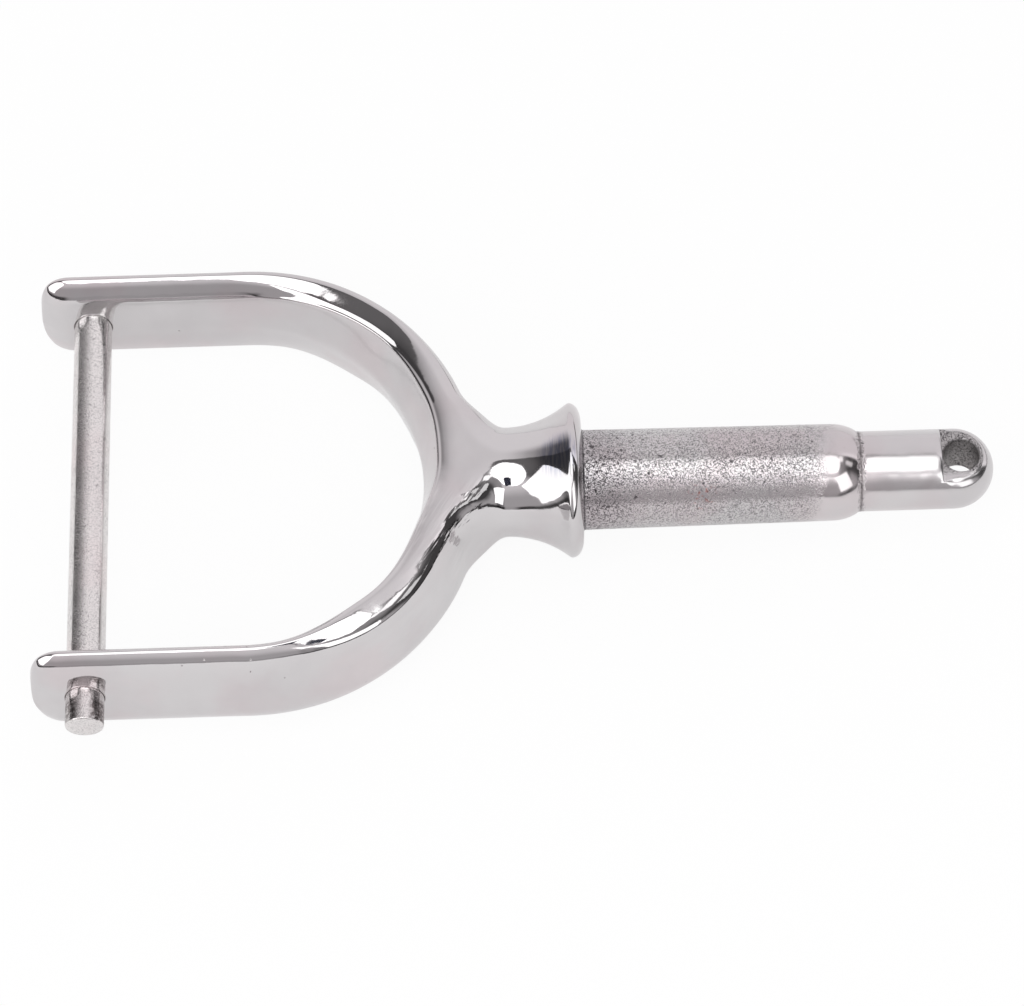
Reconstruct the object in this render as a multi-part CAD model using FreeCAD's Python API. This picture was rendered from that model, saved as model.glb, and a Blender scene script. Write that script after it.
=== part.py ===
import FreeCAD, Part
import math
import os

# A rowlock: a polished D-shaped horn that an oar lies in, on a collar and a shank that turns in a boat's socket.
# A plain round pin closes the open end of the horn. All sizes are in millimetres.
# +X runs along the shank away from the horn, Y along the gate pin, +Z up out of the horn's plane.
# The origin is on the shank's axis, at the collar's seat face.

# Shank, from the seat face to the shoulder that rounds it down
shank_diameter = 16.0
shank_length = 40.5
shoulder_length = 3.9
shoulder_step = 0.25

# Spigot beyond the shoulder, with its round end, flats and lanyard eye
spigot_diameter = 13.0
spigot_length = 22.3
eye_diameter = 5.8
eye_setback = 5.5
flat_thickness = 8.6
flat_length = 8.7

# Collar, its rounded rim, and the neck behind it
collar_diameter = 25.1
rim_depth = 1.9
rim_width = 2.9
rim_back = 1.0
rim_fall = 0.3
neck_diameter = 17.7
neck_length = 17.9

# Horn seen from above: a half circle with two straight arms, and the blend from the neck into it
horn_width = 75.2
horn_depth = 62.0
tip_overhang = 8.5
blend_round = 9.0
blend_corner = 6.6

# Section of the horn's bar: flat outside, domed inside where the oar bears
bar_height = 17.6
bar_corner = 2.6
edge_width = 5.2
edge_drop = 0.5
arm_dome = 1.2
crown_swell = 2.45

# Rounded arm tips
tip_depth = 3.8
tip_softening = 1.3
tip_flat = 5.3

# Gate pin and the bores it sits in
pin_diameter = 6.2
pin_clearance = 0.02
near_overhang = 4.5
far_overhang = 2.6
pin_chamfer = 0.35
bore_chamfer = 0.2

# How far the solids of the casting are sunk into each other, so that their surfaces cross cleanly
dome_root = 1.5
blend_sink = 0.05
neck_sink = 0.05
neck_flat = 0.1
neck_lap = 2.0
neck_fall = 0.3
blend_lap = 1.0

# How finely the lofted surfaces are guided, and how far one may lie from the edge that it meets
crown_stations = 13
tip_stations = 6
blend_stations = 5
seam_tolerance = 0.001

# Radii, and places along X, that follow from the sizes above
shank_radius = shank_diameter / 2
spigot_radius = spigot_diameter / 2
collar_radius = collar_diameter / 2
neck_radius = neck_diameter / 2
pin_radius = pin_diameter / 2
bore_radius = pin_radius + pin_clearance
outer_radius = horn_width / 2
half_height = bar_height / 2
shoulder_end = shank_length + shoulder_length
spigot_end = shoulder_end + spigot_length
crown_centre = -neck_length - outer_radius
pin_place = -neck_length - horn_depth
tip_end = pin_place - tip_overhang
blend_offset = neck_radius + blend_round
blend_reach = outer_radius - blend_sink + blend_round
waist = crown_centre + math.sqrt(blend_reach ** 2 - blend_offset ** 2)


def vector(x, y, z):
    return FreeCAD.Vector(x, y, z)


def line(start, end):
    return Part.LineSegment(start, end).toShape()


def arc(start, middle, end):
    return Part.Arc(start, middle, end).toShape()


def quarter_ellipse(start, corner, end):
    """The quarter of an ellipse that fits in the corner between its start and its end."""
    curve = Part.BezierCurve()
    curve.setPoles([start, corner, end])
    curve.setWeight(2, math.sqrt(0.5))
    return curve.toShape()


def bar_section(dome, angle, setback=0.0, height=half_height, inset=0.0):
    """The bar's closed outline, square to its path: angle 0 is the crown, 90 the far arm, -90 the near arm.

    With no dome its inner side is flat. setback moves it along the arm towards the tip, where height is its
    half height and inset thins it.
    """
    outwards = vector(math.cos(math.radians(angle)), math.sin(math.radians(angle)), 0)
    outer_face = vector(crown_centre - setback, 0, 0) + outwards * (outer_radius - inset)
    corner = bar_corner * height / half_height
    trim = corner * (1 - math.sqrt(0.5))
    crease = height * (1 - edge_drop / half_height)

    def place(inwards, up):
        return outer_face - outwards * inwards + vector(0, 0, up)

    upper, lower = place(edge_width - 2 * inset, crease), place(edge_width - 2 * inset, -crease)
    crest = place(edge_width + dome - 2 * inset, 0)
    return Part.Wire([
        line(place(0, corner - height), place(0, height - corner)),
        arc(place(0, height - corner), place(trim, height - trim), place(corner, height)),
        line(place(corner, height), upper),
        arc(upper, crest, lower) if dome else line(upper, lower),
        line(lower, place(corner, -height)),
        arc(place(corner, -height), place(trim, trim - height), place(0, corner - height)),
    ])


def crown_ring():
    """The half circle of the horn without its dome, turned about the middle of the half circle."""
    section = Part.Face(bar_section(0, -90))
    return section.revolve(vector(crown_centre, 0, 0), vector(0, 0, 1), 180)


def crown_dome():
    """The crown's dome, which swells from the arms' to its own and is rooted a little way into the ring."""
    up = vector(0, 0, half_height - edge_drop)
    root_up = vector(0, 0, half_height - edge_drop - dome_root)
    sections = []
    for station in range(crown_stations):
        angle = math.radians(-90 + 180 * station / (crown_stations - 1))
        outwards = vector(math.cos(angle), math.sin(angle), 0)
        edge = vector(crown_centre, 0, 0) + outwards * (outer_radius - edge_width)
        root = edge + outwards * dome_root
        swell = arm_dome + (crown_swell - arm_dome) * math.cos(angle) ** 2
        sections.append(Part.Wire([
            arc(edge + up, edge - outwards * swell, edge - up),
            line(edge - up, root - root_up),
            line(root - root_up, root + root_up),
            line(root + root_up, edge + up),
        ]))
    return Part.makeLoft(sections, True, False, False)


def arm(side):
    """One straight arm with a pillowed tip. side is 1 for the far arm and -1 for the near one."""
    straight = crown_centre - tip_end - tip_depth
    bar = Part.Face(bar_section(arm_dome, 90 * side)).extrude(vector(-straight, 0, 0))
    last_turn = math.acos(tip_flat / bar_height)
    sections = []
    for station in range(tip_stations):
        turn = last_turn * station / (tip_stations - 1)
        setback = straight + tip_depth * math.sin(turn) / math.sin(last_turn)
        inset = tip_softening * (1 - math.cos(turn)) / (1 - math.cos(last_turn))
        sections.append(bar_section(arm_dome, 90 * side, setback, half_height * math.cos(turn), inset))
    return bar.fuse(Part.makeLoft(sections, True, False, False))


def blend_section(place_along, half_width, half_depth, corner_width, corner_depth):
    """A closed rounded oblong square to the shank, whose corners are quarter ellipses."""
    side, top = half_width - corner_width, half_depth - corner_depth

    def place(across, up):
        return vector(place_along, across, up)

    return Part.Wire([
        line(place(half_width, -top), place(half_width, top)),
        quarter_ellipse(place(half_width, top), place(half_width, half_depth), place(side, half_depth)),
        line(place(side, half_depth), place(-side, half_depth)),
        quarter_ellipse(place(-side, half_depth), place(-half_width, half_depth), place(-half_width, top)),
        line(place(-half_width, top), place(-half_width, -top)),
        quarter_ellipse(place(-half_width, -top), place(-half_width, -half_depth), place(-side, -half_depth)),
        line(place(-side, -half_depth), place(side, -half_depth)),
        quarter_ellipse(place(side, -half_depth), place(half_width, -half_depth), place(half_width, -top)),
    ])


def blend():
    """The root of the horn, which spreads the round neck out into the crown along an arc tangent to both."""
    contact = crown_centre + (outer_radius - blend_sink) * math.cos(math.asin(blend_offset / blend_reach))
    start = neck_radius - neck_sink
    start_corner = start - neck_flat
    end = half_height - 2 * blend_sink
    sections = [blend_section(waist + blend_lap, start, start, start_corner, start_corner)]
    for station in range(blend_stations):
        share = station / (blend_stations - 1)
        place_along = waist + (contact - waist) * share
        half_width = blend_offset - math.sqrt(blend_round ** 2 - (waist - place_along) ** 2) - neck_sink
        half_depth = start + (end - start) * share
        corner_width = start_corner + (blend_corner - start_corner) * share
        corner_depth = start_corner + (bar_corner - start_corner) * share
        sections.append(blend_section(place_along, half_width, half_depth, corner_width, corner_depth))
    return Part.makeLoft(sections, True, False, False)


def stem():
    """Neck, collar, shank, shoulder and spigot in one turning about the shank's axis."""

    def at(place_along, radius):
        return vector(place_along, 0, radius)

    def rise(start, level, end, end_level):
        """An arc that leaves its start along the axis and runs through its end."""
        radius = ((end - start) ** 2 + (end_level - level) ** 2) / (2 * (end_level - level))
        middle = (start + end) / 2
        depth = abs(radius) - math.sqrt(radius ** 2 - (middle - start) ** 2)
        return arc(at(start, level), at(middle, level + math.copysign(depth, radius)), at(end, end_level))

    trumpet_end = -rim_depth - rim_back
    rim_top = at(-rim_depth, collar_radius)
    rim_foot = at(0, collar_radius - rim_width)
    ball_centre = spigot_end - spigot_radius
    slant = spigot_radius * math.sqrt(0.5)
    profile = Part.Wire([
        line(at(waist - neck_lap, 0), at(waist - neck_lap, neck_radius - neck_fall)),
        line(at(waist - neck_lap, neck_radius - neck_fall), at(waist, neck_radius)),
        rise(waist, neck_radius, trumpet_end, collar_radius - rim_fall),
        line(at(trumpet_end, collar_radius - rim_fall), rim_top),
        quarter_ellipse(rim_top, at(0, collar_radius), rim_foot),
        line(rim_foot, at(0, shank_radius)),
        line(at(0, shank_radius), at(shank_length, shank_radius)),
        rise(shank_length, shank_radius, shoulder_end, spigot_radius + shoulder_step),
        line(at(shoulder_end, spigot_radius + shoulder_step), at(shoulder_end, spigot_radius)),
        line(at(shoulder_end, spigot_radius), at(ball_centre, spigot_radius)),
        arc(at(ball_centre, spigot_radius), at(ball_centre + slant, slant), at(spigot_end, 0)),
        line(at(spigot_end, 0), at(waist - neck_lap, 0)),
    ])
    return Part.Face(profile).revolve(vector(0, 0, 0), vector(1, 0, 0), 360)


def pin_bores():
    """What is drilled out of both arms for the gate pin, with small countersinks at the outer faces."""
    across = vector(0, 1, 0)
    mouth = bore_radius + bore_chamfer
    near_face = vector(pin_place, -outer_radius, 0)
    far_seat = vector(pin_place, outer_radius - bore_chamfer, 0)
    drill = Part.makeCylinder(bore_radius, horn_width, near_face, across)
    near_mouth = Part.makeCone(mouth, bore_radius, bore_chamfer, near_face, across)
    far_mouth = Part.makeCone(bore_radius, mouth, bore_chamfer, far_seat, across)
    return drill.fuse([near_mouth, far_mouth])


def eye_cuts():
    """What is taken off the spigot's end: two flats, and the hole for a lanyard."""
    start = spigot_end - flat_length
    half_flat = flat_thickness / 2
    above = Part.makeBox(flat_length, spigot_diameter, spigot_radius, vector(start, -spigot_radius, half_flat))
    below = above.mirror(vector(0, 0, 0), vector(0, 0, 1))
    eye_place = vector(spigot_end - eye_setback, 0, -half_flat)
    hole = Part.makeCylinder(eye_diameter / 2, flat_thickness, eye_place)
    return [above, below, hole]


def horn_and_shank():
    """The whole casting: horn, neck, collar, shank and spigot in one piece."""
    crown = crown_ring().fuse([crown_dome()], seam_tolerance)
    casting = crown.fuse([arm(1), arm(-1), blend(), stem()])
    return casting.cut([pin_bores()] + eye_cuts()).removeSplitter()


def gate_pin():
    """The plain round pin across the open end of the horn, chamfered at both ends."""
    across = vector(0, 1, 0)
    point = pin_radius - pin_chamfer
    near_end = vector(pin_place, -outer_radius - near_overhang, 0)
    length = near_overhang + horn_width + far_overhang
    far_shoulder = near_end + across * (length - pin_chamfer)
    near_point = Part.makeCone(point, pin_radius, pin_chamfer, near_end, across)
    middle = Part.makeCylinder(pin_radius, length - 2 * pin_chamfer, near_end + across * pin_chamfer, across)
    far_point = Part.makeCone(pin_radius, point, pin_chamfer, far_shoulder, across)
    return near_point.fuse([middle, far_point]).removeSplitter()


os.makedirs("parts", exist_ok=True)
horn_and_shank().exportStep("parts/horn_and_shank.step")
gate_pin().exportStep("parts/gate_pin.step")
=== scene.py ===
import math

import bmesh
import bpy
import numpy as np
from mathutils import Matrix, Vector


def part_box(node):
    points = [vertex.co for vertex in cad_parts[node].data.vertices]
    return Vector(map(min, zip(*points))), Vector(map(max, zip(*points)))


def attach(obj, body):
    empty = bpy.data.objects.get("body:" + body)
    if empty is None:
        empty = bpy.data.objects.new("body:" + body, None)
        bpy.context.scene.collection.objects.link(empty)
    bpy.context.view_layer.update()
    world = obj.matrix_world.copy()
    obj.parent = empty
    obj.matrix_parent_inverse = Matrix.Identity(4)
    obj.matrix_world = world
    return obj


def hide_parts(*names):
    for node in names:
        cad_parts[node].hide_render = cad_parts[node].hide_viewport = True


# A polished steel rowlock with a D-shaped horn, a collar, a cast shank and a plain gate pin.
# Sizes are in millimetres, the studio's in metres, and angles in degrees. Meshes are scaled to metres when
# they are made.

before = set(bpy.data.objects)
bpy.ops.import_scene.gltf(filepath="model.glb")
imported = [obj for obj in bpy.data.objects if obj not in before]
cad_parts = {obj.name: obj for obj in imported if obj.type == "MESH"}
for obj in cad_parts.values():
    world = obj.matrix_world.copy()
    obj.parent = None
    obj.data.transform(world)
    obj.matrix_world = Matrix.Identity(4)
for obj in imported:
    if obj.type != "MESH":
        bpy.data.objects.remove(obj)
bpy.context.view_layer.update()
MM = 0.001

casting_low, casting_high = (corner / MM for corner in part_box("horn_and_shank"))
pin_low, pin_high = (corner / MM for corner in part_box("gate_pin"))

# Horn seen from above. crown_back is where its outer circle crosses the shank's axis.
outer_radius = casting_high.y
crown_back = -16.9
crown_centre = crown_back - outer_radius
root_round = 7.53

# Arm tips: how deep their rounding is, how far each side draws in, and how the height falls over the tip.
# Each knot is a distance outwards, a height, and the turn of the line there.
tip_end = casting_low.x
tip_depth = 5.0
tip_softening = 1.95
tip_knots = ((0.0, 8.75, 0), (2.0, 8.42, -19), (3.9, 6.9, -58), (tip_depth, 0.0, -90))
last_tip_turn = 86.0

# Section of the bar's upper half, from the middle of its outer face over the crest to the crease of its
# inner face. Each knot is a distance inwards, a height, and the turn of the line there: 90 goes straight up,
# 0 inwards and -90 straight down. The crest leans to the far side all round.
crown_knots = (
    (0.0, 0.0, 90), (0.05, 5.2, 88), (0.9, 7.6, 62), (1.4, 8.2, 42),
    (2.1, 8.62, 20), (3.2, 8.8, 0), (4.2, 8.76, -4), (5.1, 8.63, -12),
    (5.6, 8.48, -22), (5.98, 8.46, 18), (6.38, 8.26, -58), (6.75, 7.6, -68),
)
far_crown_knots = (
    (0.0, 0.0, 90), (0.0, 6.2, 90), (0.35, 7.5, 60), (0.76, 8.04, 45),
    (1.3, 8.45, 26), (2.7, 8.8, 0), (3.4, 8.76, -6), (4.4, 8.58, -15),
    (5.1, 8.34, -27), (5.48, 8.3, 14), (5.88, 8.06, -58), (6.3, 7.35, -68),
)
near_crown_knots = (
    (0.0, 0.0, 90), (0.4, 4.2, 80), (1.75, 6.9, 62), (2.45, 7.85, 45),
    (3.3, 8.5, 24), (5.0, 8.8, 2), (5.6, 8.8, -3), (6.2, 8.74, -9),
    (6.6, 8.64, -18), (6.95, 8.63, 18), (7.3, 8.45, -56), (7.6, 7.8, -72),
)
far_bend_knots = (
    (0.2, 0.0, 92), (0.0, 5.5, 91), (0.27, 7.35, 72), (0.6, 8.2, 50),
    (1.02, 8.62, 22), (1.45, 8.73, 2), (1.95, 8.68, -14), (4.05, 7.98, -23),
    (4.65, 7.55, -44), (4.86, 7.45, -14), (5.06, 7.25, -66), (5.4, 6.5, -76),
)
near_bend_knots = (
    (0.2, 0.0, 88), (0.4, 5.4, 86), (1.0, 7.15, 68), (1.6, 7.9, 34),
    (4.5, 8.7, 11), (5.1, 8.76, 0), (5.45, 8.72, -13), (5.75, 8.6, -26),
    (5.9, 8.52, -36), (6.04, 8.5, 4), (6.2, 8.34, -58), (6.38, 7.8, -72),
)
far_arm_knots = (
    (0.5, 0.0, 95), (0.08, 5.2, 93), (0.35, 7.2, 70), (0.8, 8.15, 48),
    (1.25, 8.6, 22), (1.65, 8.72, 4), (1.95, 8.65, -36), (2.9, 7.9, -47),
    (4.1, 6.2, -60), (4.26, 5.88, -65), (4.45, 5.45, -70), (4.7, 4.8, -76),
)
near_arm_knots = (
    (0.5, 0.0, 84), (1.4, 4.6, 77), (2.3, 7.0, 63), (2.72, 7.68, 52),
    (3.78, 8.6, 35), (4.15, 8.74, 4), (4.5, 8.66, -34), (4.68, 8.5, -48),
    (4.82, 8.33, -50), (4.9, 8.22, -44), (5.03, 8.02, -64), (5.45, 6.5, -80),
)

# Where the section changes, as angles of the bar's path. Along the arms these go on, so many to a millimetre.
crown_end = 22.0
bend_start = 50.0
far_bend_end, near_bend_end = 62.0, 54.0
far_arm_start, near_arm_start = 97.0, 82.0
degrees_a_mm = 1.52
arm_middle = 180.0

# The bar's width, how far the middle of its outer face draws in, and how much its inner face leans
crown_width, crown_width_end = 8.85, 15.0
arm_width, arm_width_start = 5.75, 100.0
bend_draft, bend_draft_end = 0.2, 60.0
arm_draft, arm_draft_start = 0.5, 100.0
bend_lean = 2.0
arm_lean = 6.0

# The knot between the crease and the middle of the inner face, as shares of the way there
dome_width_share = 0.68
dome_height_share = 0.45
dome_turn_share = 0.55

# Neck and collar
neck_radius = 8.85
collar_radius = casting_high.z
trumpet_end = -2.4
trumpet_radius = 12.32
rim_top = -1.85
rim_foot_radius = 9.65
root_swell = 1.7
root_square = 0.9
root_rise_start = 0.64

# Shank, shoulder and spigot
shank_start_radius = 8.1
shank_end_radius = 7.85
shank_foot_round = 0.35
shank_length = 40.5
shoulder_end = 44.4
shoulder_radius = 6.75
groove_width = 0.35
groove_lip = 0.08
groove_lip_height = 0.06
spigot_radius = 6.5
spigot_end = casting_high.x
ball_centre = spigot_end - spigot_radius

# Eye at the spigot's end
ledge_place = 58.0
flat_height = 4.3
eye_place = 61.2
eye_radius = 2.9
eye_edge = 0.25
lip_round = 0.8
lip_run = 1.6

# Gate pin and its bores
pin_place = (pin_low.x + pin_high.x) / 2
pin_radius = pin_high.z
pin_end_round = 0.35
pin_end_rings = (0.0, 0.8, 1.6, 2.2)
pin_end_margin = 1.0
bore_radius = 3.12
bore_mouth = 3.32
bore_edge_depth = 0.22
bore_patch = 4.7

# Meshes: points closer than the seam are joined, a curve's handles are this share of the way between its
# knots, and a small edge's round has a ring at this share of its size
seam = 0.004
handle_share = 0.34
edge_share = 0.3

# How many steps the grid of each form has, in one quarter of the casting and round the pin
crest_knot = 5
knot_steps = (5, 3, 2, 3, 3, 2, 3, 3, 2, 2, 1, 2, 3)
wall_steps = knot_steps[0]
side_steps = sum(knot_steps[:crest_knot])
loop_steps = sum(knot_steps)
hole_steps = 12
crown_steps = 44
arm_steps = 14
bore_steps = 10
bore_reach = 5
tip_steps = 10
tip_knot_steps = (10, 10, 10)
root_steps = 14
quarter_steps = side_steps + hole_steps
spigot_side_steps = 13
spigot_top_steps = quarter_steps - spigot_side_steps
flare_steps, rim_steps, shank_steps, fall_steps = 12, 9, 14, 7
pin_steps, pin_length_steps = 64, 24

# Where the root's fillets meet the neck and the crown
fillet_offset = neck_radius + root_round
waist = crown_centre + math.sqrt((outer_radius + root_round) ** 2 - fillet_offset ** 2)
contact_angle = math.degrees(math.asin(fillet_offset / (outer_radius + root_round)))
fillet_turn = 90 - contact_angle


def smooth(value, start=0.0, end=1.0):
    """An even S-curve from 0 at the start value to 1 at the end value."""
    share = min(max((value - start) / (end - start), 0.0), 1.0)
    return share * share * (3 - 2 * share)


def mix(start, end, share):
    return start + (end - start) * share


def stops(start, end, count):
    """So many even stops after a start, up to the end."""
    return np.linspace(start, end, count + 1)[1:]


def turned_row(along, radius, turns):
    """Points round the shank's axis, at a place along it."""
    return np.stack([np.full(len(turns), along), radius * np.cos(turns), radius * np.sin(turns)], axis=1)


class Skin:
    """Patches of points in millimetres that are joined into one closed mesh."""

    def __init__(self):
        self.points = []
        self.faces = []

    def patch(self, rows, keep=None):
        """Adds a grid of points. keep(row, column) says which of its cells are faces."""
        rows = np.asarray(rows, float)
        first = len(self.points)
        high, wide = rows.shape[:2]
        self.points.extend(rows.reshape(-1, 3).tolist())
        for row in range(high - 1):
            for column in range(wide - 1):
                if keep is None or keep(row, column):
                    corner = first + row * wide + column
                    self.faces.append((corner, corner + 1, corner + wide + 1, corner + wide))

    def add(self, other, flip):
        """Adds a copy of another skin. flip has -1 for each axis along which the copy is turned round."""
        first = len(self.points)
        self.points += [[p[0] * flip[0], p[1] * flip[1], p[2] * flip[2]] for p in other.points]
        self.faces += [tuple(first + corner for corner in face) for face in other.faces]

    def piece(self, name):
        """The finished object, with points closer than the seam joined and one step of subdivision."""
        mesh = bpy.data.meshes.new(name)
        mesh.from_pydata([[c * MM for c in p] for p in self.points], [], self.faces)
        shape = bmesh.new()
        shape.from_mesh(mesh)
        bmesh.ops.remove_doubles(shape, verts=shape.verts, dist=seam * MM)
        bmesh.ops.dissolve_degenerate(shape, edges=shape.edges, dist=seam * MM / 4)
        bmesh.ops.recalc_face_normals(shape, faces=shape.faces)
        shape.to_mesh(mesh)
        shape.free()
        mesh.polygons.foreach_set("use_smooth", [True] * len(mesh.polygons))
        piece = bpy.data.objects.new(name, mesh)
        bpy.context.scene.collection.objects.link(piece)
        rounding = piece.modifiers.new("rounding", "SUBSURF")
        rounding.levels = 1
        rounding.render_levels = 1
        rounding.boundary_smooth = "PRESERVE_CORNERS"
        return piece


def curve(knots, steps):
    """A smooth line through knots of two coordinates and a turn, in so many steps between each two."""
    points = [np.array(knots[0][:2], float)]
    for start, end, count in zip(knots, knots[1:], steps):
        first, last = np.array(start[:2], float), np.array(end[:2], float)
        reach = handle_share * np.hypot(*(last - first))
        start_turn, end_turn = math.radians(start[2]), math.radians(end[2])
        leave = first + reach * np.array((math.cos(start_turn), math.sin(start_turn)))
        arrive = last - reach * np.array((math.cos(end_turn), math.sin(end_turn)))
        for share in stops(0, 1, count):
            rest = 1 - share
            points.append(rest ** 3 * first + 3 * rest ** 2 * share * leave
                          + 3 * rest * share ** 2 * arrive + share ** 3 * last)
    return np.array(points)


def bar_profile(angle, side):
    """The upper half of the bar's section at an angle of its path: 0 is the crown's middle, 90 an arm.

    side is 1 on the far arm's side and -1 on the near arm's. Each point is its distance inwards from the
    outer face, and its height.
    """
    far = far_crown_knots, far_bend_knots, far_arm_knots
    near = near_crown_knots, near_bend_knots, near_arm_knots
    crown, bend, arm = (np.array(knots) for knots in (far if side > 0 else near))
    bend_end, arm_start = (far_bend_end, far_arm_start) if side > 0 else (near_bend_end, near_arm_start)
    to_side = smooth(angle, 0, crown_end)
    to_bend = smooth(angle, crown_end, bend_start)
    to_arm = smooth(angle, bend_end, arm_start)
    knots = mix(mix(mix(np.array(crown_knots), crown, to_side), bend, to_bend), arm, to_arm)
    knots[0, 0] = mix(bend_draft * to_bend, arm_draft, smooth(angle, bend_draft_end, arm_draft_start))
    width = mix(crown_width, arm_width, smooth(angle, crown_width_end, arm_width_start))
    crease = knots[-1]
    facing = -90 + side * mix(bend_lean * to_bend, arm_lean, to_arm)
    dome = (
        mix(crease[0], width, dome_width_share),
        crease[1] * dome_height_share,
        mix(crease[2], facing, dome_turn_share),
    )
    knots = [tuple(knot) for knot in knots] + [dome, (width, 0.0, facing)]
    return curve(knots, knot_steps)


def bar_station(side, angle, setback=0.0, turn=0.0):
    """The upper half of the bar at one place on its path: along the crown, or set back along the arm.

    turn runs from 0 to 90 over the rounded tip, where the section shrinks to a flattened line.
    """
    profile = bar_profile(angle + setback * degrees_a_mm, side)
    width = profile[-1][0]
    squeeze = 1 - 2 * tip_softening * (1 - math.cos(math.radians(turn))) / width
    inwards = width / 2 + (profile[:, 0] - width / 2) * squeeze
    tip = curve(tip_knots, tip_knot_steps)
    share = turn / 90 * (len(tip) - 1)
    height = profile[:, 1] * np.interp(share, range(len(tip)), tip[:, 1]) / tip_knots[0][1]
    reach = outer_radius - inwards
    back = setback + np.interp(share, range(len(tip)), tip[:, 0])
    along = crown_centre - back + reach * math.cos(math.radians(angle))
    across = reach * math.sin(math.radians(angle))
    return np.stack([along, across, height], axis=1)


def bar_quarter(side):
    """A quarter of the bar as rows along its path, from the crown's middle to the last turn of its tip."""
    straight = crown_centre - tip_end - tip_depth
    patch_start = crown_centre - pin_place - bore_patch
    rows = [bar_station(side, angle) for angle in np.linspace(0, contact_angle, hole_steps + 1)]
    rows += [bar_station(side, angle) for angle in stops(contact_angle, 90, crown_steps)]
    rows += [bar_station(side, 90, setback) for setback in stops(0, patch_start, arm_steps)]
    rows += [bar_station(side, 90, setback) for setback in stops(patch_start, straight, bore_steps)]
    rows += [bar_station(side, 90, straight, turn) for turn in stops(0, last_tip_turn, tip_steps)]
    return np.array(rows)


def add_bar(skin, rows):
    """The bar's skin, open where the root and the pin's bores go."""
    bore_start = hole_steps + crown_steps + arm_steps

    def keep(row, column):
        in_root = row < hole_steps and column < side_steps
        by_bore = bore_start <= row < bore_start + bore_steps
        in_bore = by_bore and (column < bore_reach or column >= loop_steps - bore_reach)
        return not in_root and not in_bore

    skin.patch(rows, keep)


def add_tip(skin, last_row):
    """The small cap that closes the tip, as a grid between the halves of its last row."""
    side = wall_steps
    outer = last_row[:side + 1]
    top = last_row[side:loop_steps - side + 1]
    inner = last_row[loop_steps - side:][::-1]
    steps_across = len(top) - 1
    rows = []
    for row in range(side + 1):
        line = []
        for column in range(steps_across + 1):
            share = column / steps_across
            up = row / side
            between_sides = mix(outer[row], inner[row], share)
            base = mix(outer[0], inner[0], share)
            to_top = mix(base, top[column], up)
            flat = mix(base, mix(outer[-1], inner[-1], share), up)
            line.append(between_sides + to_top - flat)
        rows.append(line)
    skin.patch(rows)


def bore_rings(boundary, surface, depth_sign):
    """Rings from a rectangle of the bar's grid in to the bore's mouth and over its edge.

    surface(up) is where the bar's face lies along Y at that height, and depth_sign points into the metal.
    """
    turns = [math.atan2(point[2], point[0] - pin_place) for point in boundary]

    def ring(radius, depth):
        circle = []
        for turn in turns:
            up = radius * math.sin(turn)
            along = pin_place + radius * math.cos(turn)
            circle.append((along, surface(up) + depth_sign * depth, up))
        return circle

    rows = [boundary]
    mouth = np.array(ring(bore_mouth, 0))
    for share in (0.3, 0.6, 0.85):
        between = mix(np.array(boundary), mouth, share)
        between[:, 1] = [surface(up) for up in between[:, 2]]
        rows.append(between)
    edge = ring(mix(bore_mouth, bore_radius, 1 - edge_share), bore_edge_depth * edge_share)
    return rows + [mouth, edge, ring(bore_radius, bore_edge_depth)]


def add_bore(skin, rows, side):
    """The bore for the gate pin through one arm, upper half: both mouths and the way between them.

    A face of the arm is known a few points beyond its wall, to where the bore's mouth reaches.
    """
    profile = bar_profile(arm_middle, side)
    outer_face, inner_face = profile[:wall_steps + 3], profile[:-wall_steps - 4:-1]
    start = hole_steps + crown_steps + arm_steps
    end = start + bore_steps

    def edge(columns):
        """The patch's boundary, from one end of the middle line over the top to the other."""
        going_up = [rows[start][column] for column in columns]
        across = [rows[row][columns[-1]] for row in range(start + 1, end)]
        going_down = [rows[end][column] for column in reversed(columns)]
        return going_up + across + going_down

    def surface(face):
        """Where a face of the arm lies along Y, as a function of the height."""
        return lambda up: outer_radius - np.interp(up, face[:, 1], face[:, 0])

    outer_rings = bore_rings(edge(range(bore_reach + 1)), surface(outer_face), -1)
    inner_columns = range(loop_steps, loop_steps - bore_reach - 1, -1)
    inner_rings = bore_rings(edge(inner_columns), surface(inner_face), 1)
    mouths = np.array(outer_rings[-1]), np.array(inner_rings[-1])
    skin.patch(outer_rings)
    skin.patch(inner_rings)
    skin.patch([mix(*mouths, share) for share in np.linspace(0, 1, 5)])


def root_corner(share, side):
    """How far the root's rounded top corner reaches in, from the crown's crest (share 0) to the neck (1)."""
    corner = bar_profile(contact_angle, side)[side_steps][0]
    return corner + (neck_radius - corner) * (1 - (1 - share ** 2) ** root_swell)


def root_height(share):
    """The root's half height: that of the bar, and a little more near the neck."""
    crest = crown_knots[crest_knot][1]
    return mix(crest, neck_radius, smooth(share, root_rise_start, 1))


def root_fullness(share):
    """How square the root's top corner is, from the crown (share 0) to the neck (1). 2 is a circle's arc."""
    hump = 27 / 4 * share * (1 - share) ** 2  # 1 at its top
    return 2 + root_square * hump


def root_surface(along, across, side):
    """The height of the root's upper surface at a place seen from above."""
    turn = math.degrees(math.atan2(waist - along, fillet_offset - across))
    share = min(max(1 - turn / fillet_turn, 0), 1)
    corner, height = root_corner(share, side), root_height(share)
    inwards = math.hypot(waist - along, fillet_offset - across) - root_round
    if inwards >= corner:
        return height
    power = root_fullness(share)
    return height - corner + corner * (1 - (1 - max(inwards, 0) / corner) ** power) ** (1 / power)


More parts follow.
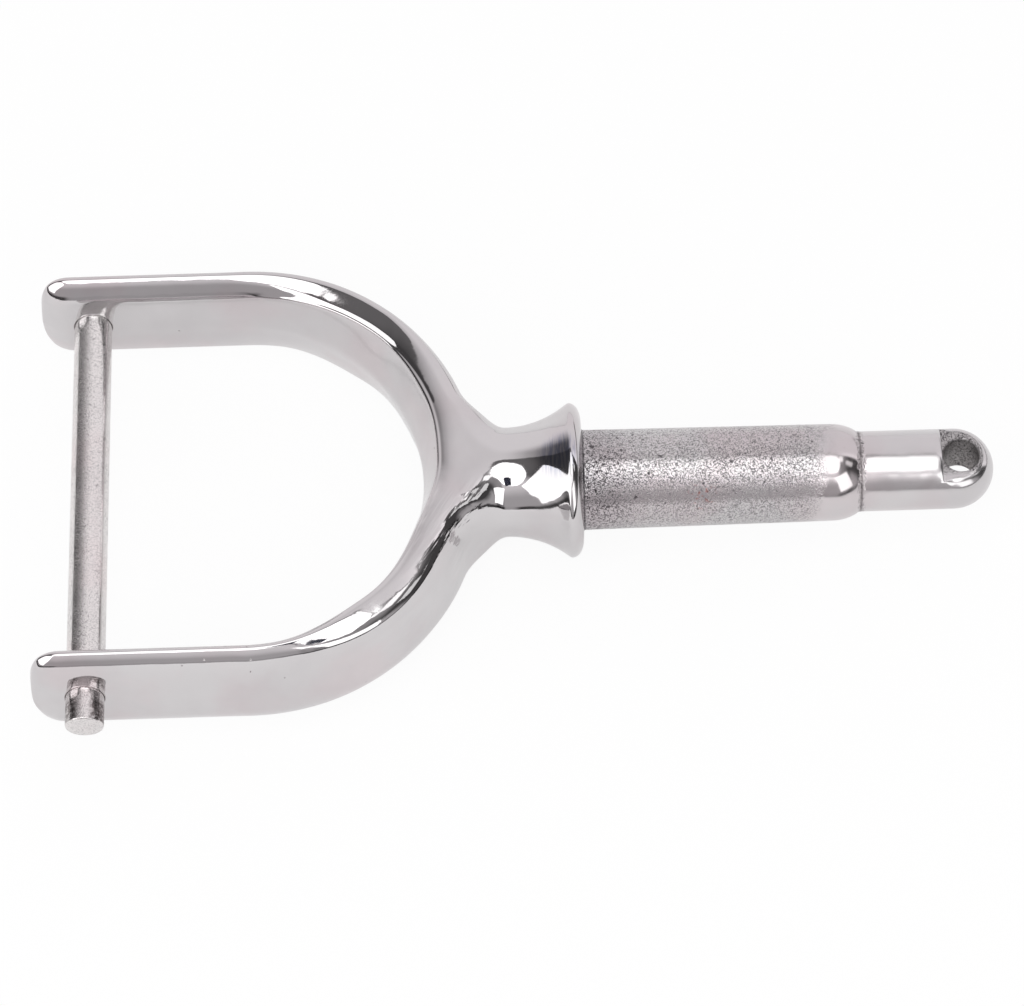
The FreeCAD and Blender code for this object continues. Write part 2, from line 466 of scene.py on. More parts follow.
def root_quarter(bar_rows, side):
    """A quarter of the horn's root as rows from the round neck to the opening left in the crown."""
    profile = bar_profile(contact_angle, side)[:side_steps + 1]
    lengths = np.concatenate([[0], np.cumsum(np.hypot(*np.diff(profile, axis=0).T))])
    opening = np.concatenate([
        bar_rows[hole_steps, :side_steps + 1],
        bar_rows[hole_steps - 1::-1, side_steps],
    ])
    neck_turns = np.radians(np.linspace(0, 90, quarter_steps + 1))
    neck = turned_row(waist, neck_radius, neck_turns)
    neck_share = neck_radius * neck_turns[side_steps]
    rows = [neck]
    for step in range(1, root_steps):
        share = step / root_steps
        turn = math.radians(fillet_turn * share)
        corner, height = root_corner(1 - share, side), root_height(1 - share)
        like_bar = smooth(share)
        wall = height - corner
        reach = mix(neck_share, lengths[-1], share)
        row = []
        for column in range(side_steps + 1):
            way = reach * mix(column / side_steps, lengths[column] / lengths[-1], share)
            bend = max(way - wall, 0) / corner
            power = 2 / root_fullness(1 - share)
            inwards = corner * (1 - max(math.cos(bend), 0) ** power)
            up = min(way, wall) + corner * math.sin(bend) ** power
            inwards = mix(inwards, profile[column][0], like_bar)
            up = mix(up, profile[column][1], like_bar)
            from_centre = root_round + inwards
            along, across = waist - from_centre * math.sin(turn), fillet_offset - from_centre * math.cos(turn)
            row.append((along, across, up))
        ridge = np.array([mix(waist, opening[-1][0], share), 0.0])
        crest = np.array(row[-1][:2])
        for column in range(1, hole_steps + 1):
            to_ridge = column / hole_steps
            from_neck = neck[side_steps + column][:2]
            to_crown = opening[side_steps + column][:2]
            corners = mix(
                mix(neck[side_steps][:2], neck[-1][:2], to_ridge),
                mix(opening[side_steps][:2], opening[-1][:2], to_ridge),
                share,
            )
            place = mix(from_neck, to_crown, share) + mix(crest, ridge, to_ridge) - corners
            row.append((place[0], place[1], root_surface(place[0], max(place[1], 0), side)))
        rows.append(row)
    rows.append(opening)
    return rows


def stem_profile():
    """Places along the shank's axis and radii there, from the neck's waist to the ledge at the eye."""
    rise, run = trumpet_radius - neck_radius, trumpet_end - waist
    flare = (run ** 2 + rise ** 2) / (2 * rise)
    last = math.asin(run / flare)
    points = [
        (waist + flare * math.sin(turn), neck_radius + flare * (1 - math.cos(turn)))
        for turn in np.linspace(0, last, flare_steps + 1)
    ]
    handle = (collar_radius - trumpet_radius) / math.tan(last)
    start, corner = Vector(points[-1]), Vector((trumpet_end + handle, collar_radius))
    end = Vector((rim_top, collar_radius))
    for share in (0.3, 0.6, 1.0):
        points.append(tuple(start.lerp(corner, share).lerp(corner.lerp(end, share), share)))
    for turn in np.radians(stops(0, 90, rim_steps)):
        points.append((rim_top * (1 - math.sin(turn)), mix(rim_foot_radius, collar_radius, math.cos(turn))))
    foot = shank_start_radius + shank_foot_round
    points += [(0, mix(rim_foot_radius, foot, share)) for share in (0.5, 1.0)]
    for turn in np.radians((30, 60, 90)):
        points.append((shank_foot_round * (1 - math.cos(turn)), foot - shank_foot_round * math.sin(turn)))
    for place in stops(shank_foot_round, shank_length, shank_steps):
        points.append((place, mix(shank_start_radius, shank_end_radius, place / shank_length)))
    fall, run = shank_end_radius - shoulder_radius, shoulder_end - shank_length
    fall_radius = (run ** 2 + fall ** 2) / (2 * fall)
    for turn in stops(0, math.asin(run / fall_radius), fall_steps):
        along = shank_length + fall_radius * math.sin(turn)
        points.append((along, shank_end_radius - fall_radius * (1 - math.cos(turn))))
    spigot_start = shoulder_end + groove_width
    points += [(shoulder_end + groove_lip, spigot_radius + groove_lip_height), (spigot_start, spigot_radius)]
    points += [(mix(spigot_start, ledge_place, share), spigot_radius)
               for share in (0.08, 0.2, 0.4, 0.6, 0.8, 0.93, 1.0)]
    return points


def lip_turn():
    """The turn from the side of the spigot up to the flat's edge."""
    return math.asin(flat_height / spigot_radius)


def stem_quarter():
    """A quarter of the turned stem. From the shank on, its grid lines gather at the flats' edges."""
    even = np.radians(np.linspace(0, 90, quarter_steps + 1))
    gathered = np.concatenate([
        np.linspace(0, lip_turn(), spigot_side_steps + 1),
        stops(lip_turn(), math.pi / 2, spigot_top_steps),
    ])
    return [
        turned_row(along, radius, mix(even, gathered, smooth(along / shank_length)))
        for along, radius in stem_profile()
    ]


def add_eye(skin, ledge_row):
    """The spigot's flattened round end with its lanyard eye, from the ledge on."""
    straight_steps, nose_steps = 4, 14
    outline = [(mix(ledge_place, ball_centre, step / straight_steps), 0.0) for step in range(straight_steps)]
    outline += [(ball_centre, turn) for turn in np.linspace(0, math.pi / 2, nose_steps + 1)]

    def on_side(along, nose_turn, latitude):
        """A point of the round side: a cylinder, and then a ball."""
        out = spigot_radius * math.cos(latitude)
        return np.array((
            along + out * math.sin(nose_turn),
            out * math.cos(nose_turn),
            spigot_radius * math.sin(latitude),
        ))

    side_rows, lip_rows, edge_row = [], [], []
    for along, nose_turn in outline:
        round_here = lip_round * smooth(along - ledge_place + nose_turn, 0, lip_run)
        top_latitude = math.asin((flat_height - round_here) / spigot_radius)
        side_rows.append([on_side(along, nose_turn, top_latitude * step / spigot_side_steps)
                          for step in range(spigot_side_steps + 1)])
        edge = on_side(along, nose_turn, lip_turn())
        outwards = np.array((math.sin(nose_turn), math.cos(nose_turn), 0.0))
        below, inside = side_rows[-1][-1], edge - outwards * round_here
        lip_rows.append([mix(mix(below, edge, share), mix(edge, inside, share), share)
                         for share in (0, 0.3, 0.65, 1.0)])
        edge_row.append(inside)
    skin.patch(side_rows)
    skin.patch(lip_rows)

    ledge_top = ledge_row[spigot_side_steps:]
    chord = [np.array((point[0], point[1], flat_height)) for point in ledge_top]
    skin.patch([mix(np.array(ledge_top), np.array(chord), share) for share in (0, 0.35, 0.75, 1.0)])

    boundary = chord[::-1] + edge_row[1:]
    turns = [math.atan2(point[1], point[0] - eye_place) for point in boundary]

    def ring(radius, height):
        return np.array([
            (eye_place + radius * math.cos(turn), radius * math.sin(turn), height) for turn in turns
        ])

    rim = ring(eye_radius + eye_edge, flat_height)
    near = [mix(np.array(boundary), rim, share) for share in (0, 0.35, 0.7, 1.0)]
    tunnel = [ring(eye_radius + eye_edge * edge_share, flat_height - eye_edge * edge_share)]
    tunnel += [ring(eye_radius, height) for height in np.linspace(flat_height - eye_edge, 0, 6)]
    skin.patch(near + tunnel)


def casting_quarter(side):
    """The upper quarter of the casting's far side (1) or near side (-1), with Y outwards for both."""
    skin = Skin()
    bar_rows = bar_quarter(side)
    add_bar(skin, bar_rows)
    add_tip(skin, bar_rows[-1])
    add_bore(skin, bar_rows, side)
    skin.patch(root_quarter(bar_rows, side))
    stem_rows = stem_quarter()
    skin.patch(stem_rows)
    add_eye(skin, stem_rows[-1])
    return skin


def build_casting():
    """The whole casting as one closed skin: its upper half, and that half turned over about the shank."""
    skin = Skin()
    for side in (1, -1):
        quarter = casting_quarter(side)
        skin.add(quarter, (1, side, 1))
        skin.add(quarter, (1, -side, -1))
    return skin.piece("polished_casting")


def build_pin():
    """The gate pin: a plain rod whose sawn ends have a slight round."""
    turns = np.linspace(0, 2 * math.pi, pin_steps + 1)
    flat_radius = pin_radius - pin_end_round
    end = [(0.0, radius) for radius in (*pin_end_rings, flat_radius)]
    for turn in np.radians((60, 30, 0)):
        end.append((pin_end_round * (1 - math.sin(turn)), pin_radius - pin_end_round * (1 - math.cos(turn))))
    profile = [(pin_low.y + inwards, radius) for inwards, radius in end]
    sides = np.linspace(pin_low.y + pin_end_margin, pin_high.y - pin_end_margin, pin_length_steps + 1)
    profile += [(along, pin_radius) for along in sides]
    profile += [(pin_high.y - inwards, radius) for inwards, radius in reversed(end)]
    rows = [turned_row(along, radius, turns)[:, (1, 0, 2)] for along, radius in profile]
    skin = Skin()
    skin.patch(np.array(rows) + (pin_place, 0, 0))
    return skin.piece("round_pin")


def feed(tree, value, socket):
    """Sets a socket to a plain value, or links it from another node's socket."""
    if isinstance(value, (int, float, tuple)):
        socket.default_value = value
    else:
        tree.links.new(value, socket)


def feed_all(tree, node, entries):
    """Feeds a node's sockets by their names."""
    for name, entry in entries.items():
        feed(tree, entry, node.inputs[name])


def maths(tree, operation, *values):
    """A Math node. Here and in the functions below, a value is a number or another node's socket."""
    node = tree.nodes.new("ShaderNodeMath")
    node.operation = operation
    for socket, value in zip(node.inputs, values):
        feed(tree, value, socket)
    return node.outputs[0]


def product(tree, first, second):
    return maths(tree, "MULTIPLY", first, second)


def larger(tree, first, second):
    return maths(tree, "MAXIMUM", first, second)


def scaled(tree, value, factor, added):
    """A value times a factor, with something added."""
    return maths(tree, "MULTIPLY_ADD", value, factor, added)


def ramp(tree, value, low, high, start=0.0, end=1.0):
    """A smooth step: start below low, end above high."""
    node = tree.nodes.new("ShaderNodeMapRange")
    node.interpolation_type = "SMOOTHSTEP"
    entries = {"Value": value, "From Min": low, "From Max": high, "To Min": start, "To Max": end}
    feed_all(tree, node, entries)
    return node.outputs["Result"]


def fade(tree, value, low, high):
    """A smooth step down: 1 below low, 0 above high."""
    return ramp(tree, value, low, high, 1.0, 0.0)


def noise(tree, where, scale, detail=2.0, roughness=0.5, distortion=0.0):
    """Noise from 0 to 1, with so many spots to a metre."""
    node = tree.nodes.new("ShaderNodeTexNoise")
    feed(tree, where, node.inputs["Vector"])
    entries = {"Scale": scale, "Detail": detail, "Roughness": roughness, "Distortion": distortion}
    feed_all(tree, node, entries)
    return node.outputs["Fac"]


def stretched(tree, where, factors):
    """A place whose coordinates are multiplied, so that a pattern is drawn out."""
    node = tree.nodes.new("ShaderNodeVectorMath")
    node.operation = "MULTIPLY"
    feed(tree, where, node.inputs[0])
    feed(tree, factors, node.inputs[1])
    return node.outputs[0]


def tinted(tree, colour, tint, amount):
    """A colour multiplied by a tint, as far as the amount says."""
    node = tree.nodes.new("ShaderNodeMix")
    node.data_type = "RGBA"
    node.blend_type = "MULTIPLY"
    feed(tree, amount, node.inputs["Factor"])
    colours = [socket for socket in node.inputs if socket.type == "RGBA"]
    feed(tree, colour, colours[0])
    feed(tree, (*tint, 1), colours[1])
    return next(socket for socket in node.outputs if socket.type == "RGBA")


def effect(name):
    """A node group that changes a colour and a roughness by an amount, and gives a height for a bump."""
    tree = bpy.data.node_groups.new(name, "ShaderNodeTree")
    sockets = {"Colour": "Color", "Roughness": "Float"}
    for in_out, last in (("INPUT", "Amount"), ("OUTPUT", "Height")):
        for socket, kind in {**sockets, last: "Float"}.items():
            tree.interface.new_socket(socket, in_out=in_out, socket_type="NodeSocket" + kind)
    given, result = tree.nodes.new("NodeGroupInput"), tree.nodes.new("NodeGroupOutput")
    where = tree.nodes.new("ShaderNodeTexCoord").outputs["Object"]
    return tree, given.outputs, result.inputs, where


def polishing_marks():
    """Marks of hand polishing: slow waves, a few tiny pits, faint warm blotches and a little haze."""
    tree, given, result, where = effect("polishing_marks")
    amount = given["Amount"]
    waves = noise(tree, where, 130, 2.0)
    fine = noise(tree, stretched(tree, where, (0.4, 1.0, 1.0)), 1500, 2.0)
    cells = tree.nodes.new("ShaderNodeTexVoronoi")
    feed(tree, where, cells.inputs["Vector"])
    feed(tree, 420, cells.inputs["Scale"])
    spots = fade(tree, cells.outputs["Distance"], 0.03, 0.09)
    pits = product(tree, spots, ramp(tree, noise(tree, where, 160, 1.0), 0.61, 0.65))
    blotches = ramp(tree, noise(tree, where, 75, 3.0), 0.42, 0.68)
    haze = ramp(tree, noise(tree, where, 210, 3.0), 0.4, 0.75)
    clouds = ramp(tree, noise(tree, where, 48, 4.0, 0.6), 0.34, 0.66)
    colour = tinted(tree, given["Colour"], (1.0, 0.955, 0.962), product(tree, blotches, amount))
    colour = tinted(tree, colour, (0.93, 0.925, 0.93), product(tree, clouds, amount))
    colour = tinted(tree, colour, (0.55, 0.52, 0.52), product(tree, pits, amount))
    feed(tree, colour, result["Colour"])
    rougher = product(tree, scaled(tree, pits, 0.25, product(tree, haze, 0.05)), amount)
    feed(tree, maths(tree, "ADD", given["Roughness"], rougher), result["Roughness"])
    height = scaled(tree, fine, 0.025, scaled(tree, pits, -0.4, waves))
    feed(tree, product(tree, height, amount), result["Height"])
    return tree


def cast_grain():
    """The rough skin of a casting: worm-like grooves, finer grit and a few darker pits."""
    tree, given, result, where = effect("cast_grain")
    amount = given["Amount"]
    bent = noise(tree, where, 2300, 1.0, distortion=0.5)
    from_middle = maths(tree, "ABSOLUTE", maths(tree, "SUBTRACT", bent, 0.5))
    worms = ramp(tree, from_middle, 0.0, 0.06)
    grit = noise(tree, where, 4200, 1.0)
    large = ramp(tree, noise(tree, where, 900, 1.0), 0.7, 0.76)
    dark = larger(tree, scaled(tree, worms, -0.8, 0.8), large)
    colour = tinted(tree, given["Colour"], (0.3, 0.29, 0.3), product(tree, dark, amount))
    feed(tree, colour, result["Colour"])
    feed(tree, scaled(tree, amount, 0.1, given["Roughness"]), result["Roughness"])
    height = scaled(tree, large, -0.8, scaled(tree, grit, 0.4, worms))
    feed(tree, product(tree, height, amount), result["Height"])
    return tree


class Finish:
    """A metal's material, to which effects are added one after another."""

    def __init__(self, name, colour, roughness=0.0):
        self.material = bpy.data.materials.new(name)
        self.material.use_nodes = True
        self.tree = self.material.node_tree
        self.shader = self.tree.nodes["Principled BSDF"]
        self.shader.inputs["Metallic"].default_value = 1.0
        self.colour = (*colour, 1)
        self.roughness = roughness
        self.normal = None
        self.where = self.tree.nodes.new("ShaderNodeTexCoord").outputs["Object"]
        split = self.tree.nodes.new("ShaderNodeSeparateXYZ")
        feed(self.tree, self.where, split.inputs[0])
        self.x, self.y, self.z = split.outputs

    def add(self, group, amount, depth):
        """Adds an effect. amount is a number or a socket, and depth is its bump's depth in millimetres."""
        node = self.tree.nodes.new("ShaderNodeGroup")
        node.node_tree = group
        feed_all(self.tree, node, {"Colour": self.colour, "Roughness": self.roughness, "Amount": amount})
        self.colour, self.roughness = node.outputs["Colour"], node.outputs["Roughness"]
        self.bump(node.outputs["Height"], depth)

    def bump(self, height, depth):
        """Adds a bump of a depth in millimetres on top of those before."""
        node = self.tree.nodes.new("ShaderNodeBump")
        node.inputs["Distance"].default_value = depth * MM
        feed(self.tree, height, node.inputs["Height"])
        if self.normal:
            feed(self.tree, self.normal, node.inputs["Normal"])
        self.normal = node.outputs["Normal"]

    def tint(self, tint, amount):
        """Tints the colour so far, as far as the amount says."""
        self.colour = tinted(self.tree, self.colour, tint, amount)

    def near_point(self, place, inner, outer):
        """1 within the inner distance of a place and 0 beyond the outer one, all in millimetres."""
        node = self.tree.nodes.new("ShaderNodeVectorMath")
        node.operation = "DISTANCE"
        feed(self.tree, self.where, node.inputs[0])
        feed(self.tree, tuple(c * MM for c in place), node.inputs[1])
        return fade(self.tree, node.outputs["Value"], inner * MM, outer * MM)

    def done(self):
        """The material, with all effects on its shader."""
        entries = {"Base Color": self.colour, "Roughness": self.roughness, "Normal": self.normal}
        feed_all(self.tree, self.shader, entries)
        return self.material


def grinding_streaks(finish):
    """Streaks along the bar where the near side of the horn's root was ground by hand."""
    streak_turn = -58
    tree = finish.tree
    turned = tree.nodes.new("ShaderNodeVectorRotate")
    turned.rotation_type = "Z_AXIS"
    feed(tree, finish.where, turned.inputs["Vector"])
    feed(tree, math.radians(streak_turn), turned.inputs["Angle"])
    streaks = noise(tree, stretched(tree, turned.outputs[0], (0.09, 1.0, 1.0)), 900, 3.0)
    on_bar = finish.near_point((-22, -13, 8.3), 3, 9)
    on_root = finish.near_point((-17.5, -6.5, 8.2), 0.5, 3.5)
    finish.bump(product(tree, streaks, larger(tree, on_bar, on_root)), depth=0.16)


def shank_mask(finish):
    """1 on the shank, from the collar to an uneven edge at its shoulder."""
    tree, x = finish.tree, finish.x
    ragged = scaled(tree, noise(tree, finish.where, 330, 3.0), 7 * MM, x)
    ragged = scaled(tree, finish.y, -0.25, ragged)
    return product(tree, ramp(tree, x, 0.0, 0.12 * MM), fade(tree, ragged, 38.5 * MM, 44.5 * MM))


def flats_mask(finish):
    """1 on the flats beside the eye, as far as an uneven line on their near side."""
    tree = finish.tree
    beyond_ledge = ramp(tree, finish.x, (ledge_place - 0.02) * MM, (ledge_place + 0.06) * MM)
    height = maths(tree, "ABSOLUTE", finish.z)
    on_flat = ramp(tree, height, (flat_height - 0.16) * MM, (flat_height - 0.04) * MM)
    uneven = scaled(tree, noise(tree, finish.where, 500, 2.0), 2 * MM, finish.y)
    return product(tree, product(tree, beyond_ledge, on_flat), ramp(tree, uneven, -2.6 * MM, -1.2 * MM))


def eye_mask(finish):
    """1 inside the lanyard eye."""
    tree = finish.tree
    across = tree.nodes.new("ShaderNodeCombineXYZ")
    feed(tree, maths(tree, "SUBTRACT", finish.x, eye_place * MM), across.inputs["X"])
    feed(tree, finish.y, across.inputs["Y"])
    from_eye = tree.nodes.new("ShaderNodeVectorMath")
    from_eye.operation = "LENGTH"
    feed(tree, across.outputs[0], from_eye.inputs[0])
    return fade(tree, from_eye.outputs["Value"], (eye_radius + 0.02) * MM, (eye_radius + 0.1) * MM)


def polished_steel(marks, grain):
    """The casting's finish: polished, with cast skin on the shank, at the shoulder's foot and at the eye."""
    finish = Finish("polished_steel", (0.64, 0.625, 0.63))
    tree, x = finish.tree, finish.x
    horn_and_collar = ramp(tree, x, 0, 20 * MM, 0.045, 0.12)
    spigot = ramp(tree, x, 38 * MM, 46 * MM, 0.0, 0.18)
    finish.roughness = larger(tree, horn_and_collar, spigot)
    finish.add(marks, 1.0, depth=0.14)
    grinding_streaks(finish)

    # Cast skin: rougher near the collar, on the flats and in the eye
    shank, flats, eye = shank_mask(finish), flats_mask(finish), eye_mask(finish)
    from_step = maths(tree, "ABSOLUTE", maths(tree, "SUBTRACT", x, (shoulder_end + 0.45) * MM))
    ragged_step = scaled(tree, noise(tree, finish.where, 1500, 2.0), -1.6 * MM, from_step)
    at_step = fade(tree, ragged_step, -0.6 * MM, -0.1 * MM)
    near_collar = scaled(tree, fade(tree, x, 1 * MM, 9 * MM), 0.8, 1.0)
    on_shank = larger(tree, product(tree, shank, near_collar), at_step)
    at_eye = larger(tree, product(tree, flats, 1.8), product(tree, eye, 2.5))
    finish.add(grain, larger(tree, on_shank, at_eye), depth=0.065)

    # Darker in the eye, a little on the flats, and on the shank towards the collar. Painted shade: a dark
    # ring in the groove at the shoulder's foot, and another in the corner where the shank meets the collar
    finish.tint((0.5, 0.49, 0.48), larger(tree, eye, product(tree, flats, 0.45)))
    # Painted shade: a dark ring in the groove at the shoulder's foot
    painted_groove_shade = fade(tree, from_step, 0.05 * MM, 0.35 * MM)
    finish.tint((0.4, 0.39, 0.39), product(tree, product(tree, at_step, painted_groove_shade), 0.8))
    finish.tint((0.84, 0.83, 0.84), product(tree, shank, fade(tree, x, 1 * MM, 12 * MM)))
    # Painted shade: a dark ring in the corner where the shank meets the collar
    painted_corner_shade = ramp(tree, x, -0.04 * MM, 0.03 * MM)
    finish.tint((0.3, 0.29, 0.3), product(tree, painted_corner_shade, fade(tree, x, 0.1 * MM, 0.45 * MM)))

    # A blue-grey painted reflection, streaked by turning marks, on the collar, and a few rust specks on the
    # shank
    rings = noise(tree, stretched(tree, finish.where, (1.0, 0.1, 0.1)), 3400, 2.0)
    # Painted reflection: a blue-grey smear on the collar, streaked by turning marks
    painted_reflection_smear = finish.near_point((-3.9, -1.4, 11.3), 1.4, 4.6)
    finish.tint((0.52, 0.56, 0.7), product(tree, ramp(tree, rings, 0.35, 0.62, 0.35, 1.0), painted_reflection_smear))
    specks = ramp(tree, noise(tree, finish.where, 1400, 2.0), 0.55, 0.66)
    rust = product(tree, specks, finish.near_point((19, -6.4, 4.6), 1.2, 3.2))
    finish.tint((0.95, 0.62, 0.58), product(tree, rust, shank))
    return finish.done()


def satin_steel(marks, grain):
    """The gate pin's finish: drawn rod with fine speckles, painted dark reflections on both sides of the near
    stub, and saw marks on both ends.
    """
    finish = Finish("satin_steel", (0.81, 0.79, 0.78), 0.09)
    tree, y = finish.tree, finish.y
    finish.add(marks, 1.0, depth=0.06)
    speckles = ramp(tree, noise(tree, finish.where, 420, 2.0), 0.3, 0.7, 0.3, 0.6)
    finish.add(grain, speckles, depth=0.016)

    # Painted dark reflections, speckled, on both sides of the stub that stands out on the near side
    beside_middle = maths(tree, "ABSOLUTE", maths(tree, "SUBTRACT", finish.x, pin_place * MM))
    stub = fade(tree, y, (pin_low.y + 3.2) * MM, (pin_low.y + 4.2) * MM)
    spotted = ramp(tree, noise(tree, finish.where, 1700, 2.0), 0.36, 0.6, 0.35, 1.0)
    painted_dark_sides = product(tree, stub, ramp(tree, beside_middle, 0.7 * MM, 1.5 * MM))
    painted_dark_sides = product(tree, painted_dark_sides, ramp(tree, y, (pin_low.y + 0.1) * MM, (pin_low.y + 0.4) * MM))
    finish.tint((0.3, 0.28, 0.28), product(tree, painted_dark_sides, spotted))

    near_end = fade(tree, y, (pin_low.y + 0.2) * MM, (pin_low.y + 0.5) * MM)
    far_end = ramp(tree, y, (pin_high.y - 0.5) * MM, (pin_high.y - 0.2) * MM)
    saw_marks = noise(tree, stretched(tree, finish.where, (0.15, 1.0, 1.0)), 2600, 2.0)
    finish.bump(product(tree, saw_marks, larger(tree, near_end, far_end)), depth=0.06)
    return finish.done()


# The studio: how far the lamps are, how bright they are, how bright the walls are and where they start, and
# the floor's glow for the camera and in reflections
lamp_distance = 1.1
overhead_brightness = 1.8
side_brightness = 1.6
small_brightness = 0.9
high_brightness = 1.3
light_wall = 0.93
dark_room = 0.07
grey_wall_low = 0.49
grey_wall_high = 0.84
wall_edge = 0.33
right_wall_edge = 0.15
dim_corner = 0.25
floor_glow = 0.93
mirrored_floor_glow = 0.42
floor_half_width = 3.0

# A dark card over the table, for the reflections on the neck
card_outline = (
    (-0.026, -0.05), (0.026, -0.05), (0.026, 0.025), (0.013, 0.045), (-0.013, 0.045), (-0.026, 0.025),
)
card_direction = (-0.03, -0.46, 0.89)
card_distance = 0.3

# The camera's place, fitted to the photograph, in degrees and millimetres
image_width = 1024
focal_pixels = 4400
camera_elevation = 60.4485
camera_azimuth = 0.0795
camera_roll = 1.6924
camera_distance = 711.74
camera_target = (-11.4845, -3.8889, 0.0)


def hang(thing, direction, distance):
    """Adds a thing in a direction from the frame's origin, facing it."""
    bpy.context.scene.collection.objects.link(thing)
    thing.location = direction * distance
    thing.rotation_euler = direction.to_track_quat("Z", "Y").to_euler()


def soft_lamp(name, azimuth, elevation, size, brightness, shape="RECTANGLE"):
    """A studio lamp that faces the object, given by its direction, width and height, and brightness."""
    lamp = bpy.data.lights.new(name, "AREA")
    lamp.shape = shape
    lamp.size, lamp.size_y = size
    area = size[0] * size[1] * (math.pi / 4 if shape == "ELLIPSE" else 1)
    lamp.energy = brightness * math.pi * area
    azimuth, elevation = math.radians(azimuth), math.radians(elevation)
    level = math.cos(elevation)
    direction = Vector((level * math.cos(azimuth), level * math.sin(azimuth), math.sin(elevation)))
    hang(bpy.data.objects.new(name, lamp), direction, lamp_distance)


def set_camera():
    """The camera, where the photograph was taken from."""
    elevation, azimuth, roll = map(math.radians, (camera_elevation, camera_azimuth, camera_roll))
    forward = Vector((
        math.sin(azimuth) * math.cos(elevation),
        math.cos(azimuth) * math.cos(elevation),
        -math.sin(elevation),
    ))
    level = Vector((math.cos(azimuth), -math.sin(azimuth), 0))
    upright = level.cross(forward)
    right = math.cos(roll) * level - math.sin(roll) * upright
    up = math.sin(roll) * level + math.cos(roll) * upright
    data = bpy.data.cameras.new("camera")
    data.sensor_fit = "HORIZONTAL"
    data.lens = focal_pixels / image_width * data.sensor_width
    data.clip_start = 0.01
    camera = bpy.data.objects.new("camera", data)
    bpy.context.scene.collection.objects.link(camera)
    place = (Vector(camera_target) - forward * camera_distance) * MM
    turned = Matrix((right, up, -forward)).transposed().to_4x4()
    camera.matrix_world = Matrix.Translation(place) @ turned
    bpy.context.scene.camera = camera


def matt(name, colour):
    """A material of one colour, as rough as can be."""
    material = bpy.data.materials.new(name)
    material.use_nodes = True
    shader = material.node_tree.nodes["Principled BSDF"]
    shader.inputs["Base Color"].default_value = (*colour, 1)
    shader.inputs["Roughness"].default_value = 1.0
    return material


def set_floor():
    """A wide pale floor at the collar's lowest point. It looks white, and the object's shadow stays on it."""
    square = ((-1, -1), (1, -1), (1, 1), (-1, 1))
    corners = [(x * floor_half_width, y * floor_half_width, casting_low.z * MM) for x, y in square]
    mesh = bpy.data.meshes.new("floor")
    mesh.from_pydata(corners, [], [(0, 1, 2, 3)])
    floor = bpy.data.objects.new("floor", mesh)
    bpy.context.scene.collection.objects.link(floor)
    material = matt("pale_floor", (0.95, 0.95, 0.95))
    tree = material.node_tree
    shader = tree.nodes["Principled BSDF"]
    shader.inputs["Specular IOR Level"].default_value = 0.0
    glow = tree.nodes.new("ShaderNodeEmission")
    glow.inputs["Color"].default_value = (1, 1, 1, 1)
    glow.inputs["Strength"].default_value = 1.0
    path = tree.nodes.new("ShaderNodeLightPath")
    by_camera = product(tree, path.outputs["Is Camera Ray"], floor_glow)
    by_mirror = larger(tree, path.outputs["Is Glossy Ray"], path.outputs["Is Transmission Ray"])
    share = larger(tree, by_camera, product(tree, by_mirror, mirrored_floor_glow))
    mixed = tree.nodes.new("ShaderNodeMixShader")
    feed(tree, share, mixed.inputs["Fac"])
    feed(tree, shader.outputs[0], mixed.inputs[1])
    feed(tree, glow.outputs[0], mixed.inputs[2])
    feed(tree, mixed.outputs[0], tree.nodes["Material Output"].inputs["Surface"])
    mesh.materials.append(material)


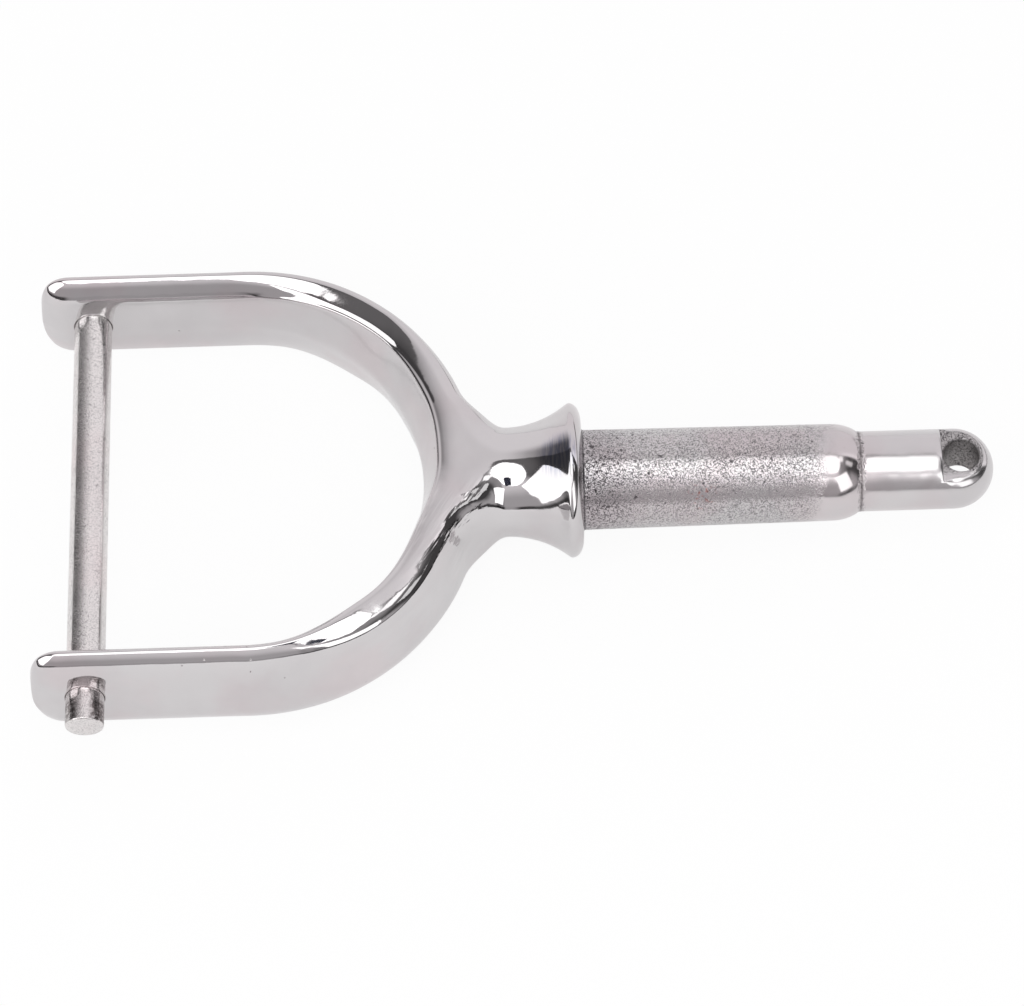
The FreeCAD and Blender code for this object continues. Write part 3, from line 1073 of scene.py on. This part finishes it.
def set_room():
    """The room round the table: a light wall behind, dark sides, and a grey wall in front, past the camera.

    right, back and up are the components of a direction, each from -1 to 1.
    """
    world = bpy.data.worlds.new("studio")
    bpy.context.scene.world = world
    world.use_nodes = True
    tree = world.node_tree
    where = tree.nodes.new("ShaderNodeTexCoord")
    split = tree.nodes.new("ShaderNodeSeparateXYZ")
    feed(tree, where.outputs["Generated"], split.inputs[0])
    right, back, up = split.outputs

    # The light wall behind, in shade on the left and lighter in the right corner
    lower_edge = ramp(tree, right, 0.0, 0.22, wall_edge, right_wall_edge)
    behind = ramp(tree, back, lower_edge, maths(tree, "ADD", lower_edge, 0.03))
    left_shade = product(tree, fade(tree, right, -1.05, 0.25), fade(tree, back, 0.5, 0.74))
    behind = product(tree, behind, maths(tree, "SUBTRACT", 1.0, left_shade))
    corner = product(tree, ramp(tree, right, 0.15, 0.5), ramp(tree, back, 0.4, 0.15))
    behind = product(tree, behind, scaled(tree, corner, 0.5, 1.0))

    # The grey wall in front, with a dark gap on the right
    in_front = ramp(tree, back, -0.25, -0.5)
    gap = product(tree, ramp(tree, right, 0.2, 0.27), fade(tree, right, 0.62, 0.75))
    in_front = product(tree, in_front, scaled(tree, gap, -0.85, 1.0))
    front_wall = ramp(tree, up, 0.4, 0.8, grey_wall_low, grey_wall_high)

    # The dark room between them, less dark on the right and overhead
    right_side = product(tree, ramp(tree, right, 0.06, 0.2), fade(tree, right, 0.4, 0.6))
    dark = scaled(tree, right_side, dim_corner - dark_room, dark_room)
    dark = maths(tree, "ADD", dark, ramp(tree, up, 0.72, 0.92, 0.0, 0.1))
    level = scaled(tree, behind, maths(tree, "SUBTRACT", light_wall, dark), dark)
    level = scaled(tree, in_front, maths(tree, "SUBTRACT", front_wall, level), level)

    # A dark skirting in front and far to the right, which fades out straight ahead
    skirting = ramp(tree, up, 0.06, 0.14, 0.12, 1.0)
    no_skirting = product(tree, ramp(tree, back, -0.3, -0.1), fade(tree, right, 0.5, 0.7))
    straight_ahead = ramp(tree, maths(tree, "ABSOLUTE", right), 0.1, 0.3, 0.9, 0.0)
    no_skirting = larger(tree, no_skirting, straight_ahead)
    level = product(tree, level, larger(tree, skirting, no_skirting))

    tint = tree.nodes.new("ShaderNodeCombineColor")
    green, blue = product(tree, level, 0.965), product(tree, level, 0.985)
    feed_all(tree, tint, {"Red": level, "Green": green, "Blue": blue})
    feed(tree, tint.outputs[0], tree.nodes["Background"].inputs["Color"])


def set_card():
    """The dark card, which only reflections show."""
    mesh = bpy.data.meshes.new("dark_card")
    mesh.from_pydata([(x, y, 0) for x, y in card_outline], [], [range(len(card_outline))])
    card = bpy.data.objects.new("dark_card", mesh)
    hang(card, Vector(card_direction).normalized(), card_distance)
    mesh.materials.append(matt("dark_cloth", (0.03, 0.035, 0.06)))
    card.visible_camera = False
    card.visible_diffuse = False
    card.visible_shadow = False


marks, grain = polishing_marks(), cast_grain()
casting = build_casting()
casting.data.materials.append(polished_steel(marks, grain))
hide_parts("horn_and_shank")
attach(casting, "root")

pin = build_pin()
pin.data.materials.append(satin_steel(marks, grain))
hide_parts("gate_pin")
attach(pin, "root")

set_floor()
set_room()
soft_lamp("overhead_lamp", 256, 77, (0.82, 1.04), overhead_brightness, "ELLIPSE")
soft_lamp("left_lamp", 209, 32, (0.95, 0.86), side_brightness)
soft_lamp("right_lamp", 303, 30, (0.6, 0.76), side_brightness)
soft_lamp("small_lamp", 352, 49, (0.17, 0.3), small_brightness)
soft_lamp("high_lamp", 3, 69, (0.22, 0.17), high_brightness)
set_card()
set_camera()
bpy.context.scene.view_settings.view_transform = "Standard"
